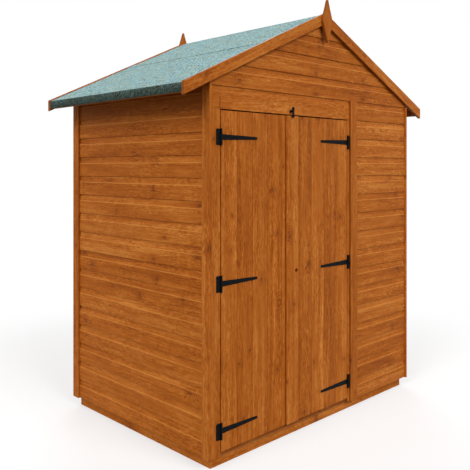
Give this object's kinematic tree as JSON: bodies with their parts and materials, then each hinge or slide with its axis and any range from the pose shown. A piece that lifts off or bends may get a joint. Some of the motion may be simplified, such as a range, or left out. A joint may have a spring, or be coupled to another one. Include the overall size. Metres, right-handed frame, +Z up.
{
  "type": "wooden garden shed",
  "caption": "Small apex garden shed of shiplap boards on a timber floor, with double doors hung on tee hinges in the gable end, bargeboards, finials and a felted roof.",
  "frame": {"origin": "on the ground at the centre of the building", "axes": "+X to the right along the front wall, +Y from the front to the back, +Z up"},
  "size_m": [2.134, 1.274, 2.4081],
  "materials": {
    "cladding": "stained shiplap",
    "door_boards": "stained boards",
    "trim": "stained",
    "framing": "sawn",
    "floor_timber": "stained and sawn",
    "roof_boards": "sawn",
    "roof_felt": "green mineral felt",
    "black_iron": "black powder coat"
  },
  "bodies": {
    "shed": {"floor_deck": "floor_timber", "floor_bearers": "floor_timber", "floor_joists": "floor_timber", "door_threshold": "framing", "left_wall_cladding": "cladding", "right_wall_cladding": "cladding", "back_wall_cladding": "cladding", "front_panel_cladding": "cladding", "front_gable_cladding": "cladding", "back_gable_cladding": "cladding", "lintel_board": "cladding", "door_post_boards": "door_boards", "wall_studs": "framing", "side_wall_rails": "framing", "back_wall_rails": "framing", "front_posts": "framing", "front_rails": "framing", "wall_plates": "framing", "gable_rafters_left": "framing", "gable_rafters_right": "framing", "roof_purlins": "framing", "eave_battens": "framing", "roof_deck_left": "roof_boards", "roof_deck_right": "roof_boards", "left_bargeboards": "trim", "right_bargeboards": "trim", "finials": "trim", "side_trims": "trim", "back_trims": "trim", "front_joint_trim": "trim", "felt_left": "roof_felt", "felt_right": "roof_felt", "felt_ridge": "roof_felt", "hinge_leaves": "black_iron", "hinge_pins": "black_iron", "turn_button_screw": "black_iron"},
    "left_door": {"left_door_boards": "door_boards", "left_door_ledges": "framing", "left_door_braces": "framing", "left_hinge_straps": "black_iron"},
    "right_door": {"right_door_boards": "door_boards", "right_door_ledges": "framing", "right_door_braces": "framing", "right_hinge_straps": "black_iron", "door_cover_strip": "trim"},
    "turn_button": {"turn_button": "black_iron"}
  },
  "joints": [
    {"name": "left_door_hinge", "type": "hinge", "parent": "shed", "child": "left_door", "pos_m": [-0.81725, -0.60845, 0.889], "axis": [0, 0, -1], "range_deg": [0, 150]},
    {"name": "right_door_hinge", "type": "hinge", "parent": "shed", "child": "right_door", "pos_m": [0.23375, -0.60845, 0.889], "axis": [0, 0, 1], "range_deg": [0, 150]},
    {"name": "turn_button_pivot", "type": "hinge", "parent": "shed", "child": "turn_button", "pos_m": [-0.29175, -0.603, 1.757], "axis": [0, 1, 0], "range_deg": [-90, 90]}
  ]
}
